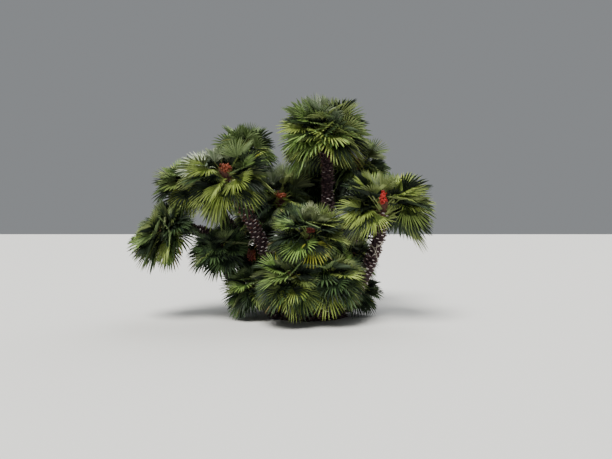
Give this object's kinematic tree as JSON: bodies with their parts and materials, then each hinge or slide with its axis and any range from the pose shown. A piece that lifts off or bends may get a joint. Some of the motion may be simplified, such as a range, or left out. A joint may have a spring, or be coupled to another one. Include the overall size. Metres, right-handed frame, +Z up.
{
  "type": "dwarf fan palm",
  "caption": "Clump-forming dwarf fan palm: leaning fibrous stems from a shared rootstock, each with a round crown of stiff fan-shaped fronds and bunches of small fruit.",
  "frame": {"origin": "on the ground, at the middle of the flat cut under the main stem's rootstock", "axes": "+Z up from level ground; +Y away from the side seen in the picture; +X to the right of that side"},
  "size_m": [5.0758, 3.9363, 3.981],
  "materials": {
    "bark": "rough brown fibrous stem with pale cut leaf-base stubs",
    "green_fronds": "matte leathery green leaf, paler and greyer beneath",
    "old_fronds": "matte yellow-green older leaf, dry and straw-coloured in places"
  },
  "bodies": {
    "root": {"main_stem": "bark", "main_upper_fronds": "green_fronds", "main_skirt_fronds": "old_fronds", "front_stem": "bark", "front_upper_fronds": "green_fronds", "front_skirt_fronds": "old_fronds", "low_front_left_stem": "bark", "low_front_left_upper_fronds": "green_fronds", "low_front_left_skirt_fronds": "old_fronds", "low_front_right_stem": "bark", "low_front_right_upper_fronds": "green_fronds", "low_front_right_skirt_fronds": "old_fronds", "right_stem": "bark", "right_upper_fronds": "green_fronds", "right_skirt_fronds": "old_fronds", "left_stem": "bark", "left_upper_fronds": "green_fronds", "left_skirt_fronds": "old_fronds", "far_left_stem": "bark", "far_left_upper_fronds": "green_fronds", "far_left_skirt_fronds": "old_fronds", "back_left_stem": "bark", "back_left_upper_fronds": "green_fronds", "back_left_skirt_fronds": "old_fronds", "upper_left_stem": "bark", "upper_left_upper_fronds": "green_fronds", "upper_left_skirt_fronds": "old_fronds", "upper_right_stem": "bark", "upper_right_upper_fronds": "green_fronds", "upper_right_skirt_fronds": "old_fronds", "middle_stem": "bark", "middle_upper_fronds": "green_fronds", "middle_skirt_fronds": "old_fronds", "inner_stem": "bark", "inner_upper_fronds": "green_fronds", "inner_skirt_fronds": "old_fronds", "low_left_stem": "bark", "low_left_upper_fronds": "green_fronds", "low_left_skirt_fronds": "old_fronds", "low_right_stem": "bark", "low_right_upper_fronds": "green_fronds", "low_right_skirt_fronds": "old_fronds", "low_back_left_stem": "bark", "low_back_left_upper_fronds": "green_fronds", "low_back_left_skirt_fronds": "old_fronds", "low_back_right_stem": "bark", "low_back_right_upper_fronds": "green_fronds", "low_back_right_skirt_fronds": "old_fronds", "back_stem": "bark", "back_upper_fronds": "green_fronds", "back_skirt_fronds": "old_fronds", "back_right_stem": "bark", "back_right_upper_fronds": "green_fronds", "back_right_skirt_fronds": "old_fronds", "far_back_stem": "bark", "far_back_upper_fronds": "green_fronds", "far_back_skirt_fronds": "old_fronds", "low_back_stem": "bark", "low_back_upper_fronds": "green_fronds", "low_back_skirt_fronds": "old_fronds"}
  },
  "joints": []
}
